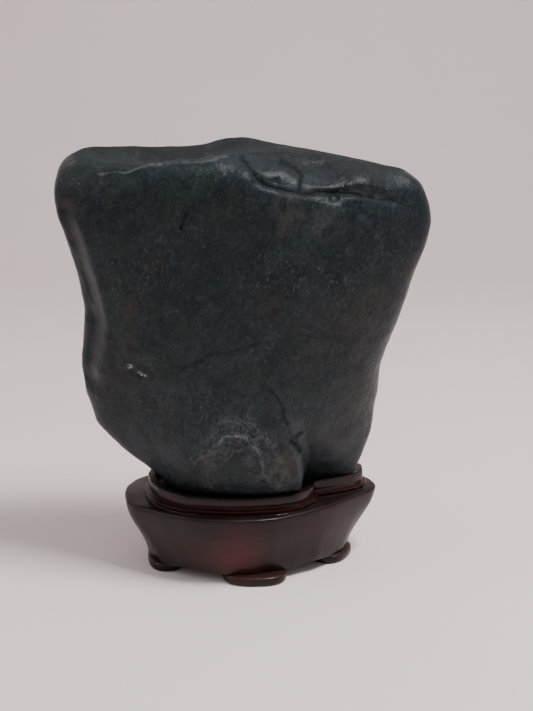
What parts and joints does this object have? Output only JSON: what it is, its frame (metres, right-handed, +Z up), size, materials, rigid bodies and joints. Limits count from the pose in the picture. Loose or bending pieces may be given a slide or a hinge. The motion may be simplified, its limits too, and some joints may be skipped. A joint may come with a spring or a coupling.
{
  "type": "scholars rock on a stand",
  "caption": "Dark water-worn scholar's rock standing in a carved, lacquered hardwood stand with a raised collar and low feet.",
  "frame": {"origin": "on the surface the stand rests on, under the middle of the whole object's bounding box", "axes": "+Z up, -Y towards the front, the broad face with the bevel at its top right; +X to the right seen from the front"},
  "size_m": [0.2015, 0.0985, 0.2404],
  "materials": {
    "stone": "dark blue-green stone, water-worn and lightly oiled, satin with paler flecks and veins",
    "lacquered_wood": "dark reddish-brown hardwood under glossy lacquer, redder where it is thin"
  },
  "bodies": {
    "root": {"stone": "stone", "stand": "lacquered_wood"}
  },
  "joints": []
}
